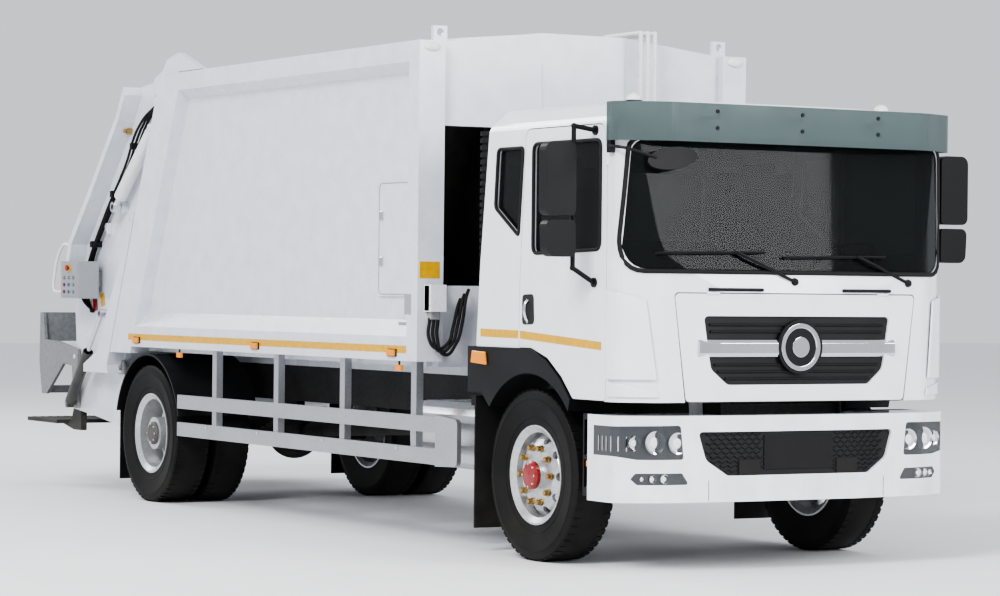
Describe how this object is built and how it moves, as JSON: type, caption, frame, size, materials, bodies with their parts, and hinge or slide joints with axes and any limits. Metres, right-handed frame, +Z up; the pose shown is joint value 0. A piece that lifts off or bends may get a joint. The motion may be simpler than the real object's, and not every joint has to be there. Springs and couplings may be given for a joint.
{
  "type": "garbage truck",
  "caption": "Rear-loading garbage truck with tilting cab, closed load body with ejector, and a lifting tailgate with hopper, packer and bin lifter.",
  "frame": {"origin": "on the ground under the middle of the whole vehicle, half way along its length and width", "axes": "+X forward, +Y to the vehicle's left, +Z up"},
  "size_m": [9.15, 3.03, 3.3263],
  "materials": {
    "body_paint": "gloss",
    "chassis_paint": "satin",
    "engine_paint": "matte",
    "bare_aluminium": "satin",
    "wheel_paint": "gloss",
    "tyre_rubber": "matte",
    "black_plastic": "matte",
    "black_rubber": "matte",
    "grille_plastic": "gloss",
    "lamp_lens": "gloss",
    "window_glass": "gloss",
    "visor_plastic": "gloss",
    "cloth": "matte",
    "trim_plastic": "matte",
    "worn_steel": "satin",
    "cylinder_paint": "satin",
    "rod_chrome": "mirror",
    "grey_paint": "satin"
  },
  "bodies": {
    "chassis": {"chassis_frame": "chassis_paint", "front_axle": "chassis_paint", "rear_axle": "chassis_paint", "engine": "engine_paint", "propeller_shaft": "chassis_paint", "fuel_tank": "bare_aluminium", "air_tanks": "grey_paint", "battery_box": "chassis_paint", "side_guards": "bare_aluminium", "front_bumper": "body_paint", "bumper_grille": "grille_plastic", "head_lamps": "lamp_lens", "rear_fenders": "black_plastic", "cab_steps": "black_plastic", "front_mudflaps": "black_rubber", "intake_bellows": "black_rubber", "body_shell": "body_paint", "body_front_frame": "body_paint", "body_rear_frame": "body_paint", "hydraulic_pipes": "cylinder_paint"},
    "ejector": {"ejector_plate": "worn_steel"},
    "hatch": {"service_hatch": "body_paint"},
    "cab": {"cab_shell": "body_paint", "cab_glass": "window_glass", "sun_visor": "visor_plastic", "dashboard": "trim_plastic", "seats": "cloth", "steering_wheel": "black_plastic", "front_arches": "black_plastic", "front_mirror": "black_plastic"},
    "front_lid": {"front_panel": "body_paint", "grille": "grille_plastic"},
    "right_door": {"door_right": "body_paint", "door_glass_right": "window_glass", "mirror_right": "black_plastic"},
    "left_door": {"door_left": "body_paint", "door_glass_left": "window_glass", "mirror_left": "black_plastic"},
    "right_knuckle": {"knuckle_right": "chassis_paint"},
    "left_knuckle": {"knuckle_left": "chassis_paint"},
    "front_wheel_right": {"front_tyre_right": "tyre_rubber", "front_rim_right": "wheel_paint"},
    "front_wheel_left": {"front_tyre_left": "tyre_rubber", "front_rim_left": "wheel_paint"},
    "rear_wheels_right": {"rear_tyres_right": "tyre_rubber", "rear_rims_right": "wheel_paint"},
    "rear_wheels_left": {"rear_tyres_left": "tyre_rubber", "rear_rims_left": "wheel_paint"},
    "tailgate": {"tailgate_shell": "body_paint", "control_box": "grey_paint", "rear_step": "bare_aluminium"},
    "lift_cylinders": {"lift_barrels": "cylinder_paint"},
    "lift_cylinder_rods": {"lift_rods": "rod_chrome"},
    "packer": {"packer_carriage": "worn_steel"},
    "blade": {"sweep_blade": "worn_steel"},
    "lifter": {"bin_lifter": "grey_paint"},
    "lifter_cylinders": {"lifter_barrels": "grey_paint"},
    "lifter_cylinder_rods": {"lifter_rods": "rod_chrome"}
  },
  "joints": [
    {"name": "cab_tilt", "type": "hinge", "parent": "chassis", "child": "cab", "pos_m": [4.325, 0, 0.65], "axis": [0, 1, 0], "range_deg": [0, 50]},
    {"name": "front_lid_open", "type": "hinge", "parent": "cab", "child": "front_lid", "pos_m": [4.549, 0, 1.606], "axis": [0, -1, 0], "range_deg": [0, 80]},
    {"name": "right_door_open", "type": "hinge", "parent": "cab", "child": "right_door", "pos_m": [4.273, -1.15, 1.7], "axis": [0, 0, 1], "range_deg": [0, 70]},
    {"name": "left_door_open", "type": "hinge", "parent": "cab", "child": "left_door", "pos_m": [4.273, 1.15, 1.7], "axis": [0, 0, -1], "range_deg": [0, 70]},
    {"name": "steer_right", "type": "hinge", "parent": "chassis", "child": "right_knuckle", "pos_m": [3.425, -0.87, 0.512], "axis": [0, 0, 1], "range_deg": [-35, 35]},
    {"name": "steer_left", "type": "hinge", "parent": "chassis", "child": "left_knuckle", "pos_m": [3.425, 0.87, 0.512], "axis": [0, 0, 1], "range_deg": [-35, 35]},
    {"name": "front_wheel_right_spin", "type": "hinge", "parent": "right_knuckle", "child": "front_wheel_right", "pos_m": [3.425, -0.99, 0.512], "axis": [0, 1, 0], "continuous": true},
    {"name": "front_wheel_left_spin", "type": "hinge", "parent": "left_knuckle", "child": "front_wheel_left", "pos_m": [3.425, 0.99, 0.512], "axis": [0, 1, 0], "continuous": true},
    {"name": "rear_wheels_right_spin", "type": "hinge", "parent": "chassis", "child": "rear_wheels_right", "pos_m": [-2.075, -0.912, 0.512], "axis": [0, 1, 0], "continuous": true},
    {"name": "rear_wheels_left_spin", "type": "hinge", "parent": "chassis", "child": "rear_wheels_left", "pos_m": [-2.075, 0.912, 0.512], "axis": [0, 1, 0], "continuous": true},
    {"name": "hatch_open", "type": "hinge", "parent": "chassis", "child": "hatch", "pos_m": [1.943, -1.152, 1.93], "axis": [0, 0, 1], "range_deg": [0, 110]},
    {"name": "ejector_slide", "type": "slide", "parent": "chassis", "child": "ejector", "axis": [-1, 0, 0], "range_m": [0, 3.5]},
    {"name": "tailgate_lift", "type": "hinge", "parent": "chassis", "child": "tailgate", "pos_m": [-1.708, 0, 3.256], "axis": [0, 1, 0], "range_deg": [0, 78]},
    {"name": "lift_cylinder_swing", "type": "hinge", "parent": "chassis", "child": "lift_cylinders", "pos_m": [-2.105, 0, 2.786], "axis": [0, 1, 0], "range_deg": [0, 97.05]},
    {"name": "lift_cylinder_rod", "type": "slide", "parent": "lift_cylinders", "child": "lift_cylinder_rods", "axis": [-0.776, 0, -0.6308], "range_m": [0, 0.6774]},
    {"name": "packer_slide", "type": "slide", "parent": "tailgate", "child": "packer", "axis": [-0.6899, 0, -0.7239], "range_m": [0, 0.35]},
    {"name": "blade_sweep", "type": "hinge", "parent": "packer", "child": "blade", "pos_m": [-3.12, 0, 2.135], "axis": [0, 1, 0], "range_deg": [0, 50]},
    {"name": "bin_lift", "type": "hinge", "parent": "tailgate", "child": "lifter", "pos_m": [-3.74, 0, 1.045], "axis": [0, 1, 0], "range_deg": [0, 60]},
    {"name": "lifter_cylinder_swing", "type": "hinge", "parent": "lifter", "child": "lifter_cylinders", "pos_m": [-3.72, 0, 0.677], "axis": [0, -1, 0], "range_deg": [0, 41.96]},
    {"name": "lifter_cylinder_rod", "type": "slide", "parent": "lifter_cylinders", "child": "lifter_cylinder_rods", "axis": [0.6678, 0, 0.7444], "range_m": [0, 0.1585]}
  ],
  "couplings": [
    {"joint": "steer_left", "follows": "steer_right", "ratio": 1},
    {"joint": "lift_cylinder_swing", "follows": "tailgate_lift", "ratio": 1.2378},
    {"joint": "lift_cylinder_rod", "follows": "tailgate_lift", "m_per_rad": 0.49392},
    {"joint": "lifter_cylinder_swing", "follows": "bin_lift", "ratio": 0.69097},
    {"joint": "lifter_cylinder_rod", "follows": "bin_lift", "m_per_rad": 0.14661}
  ]
}
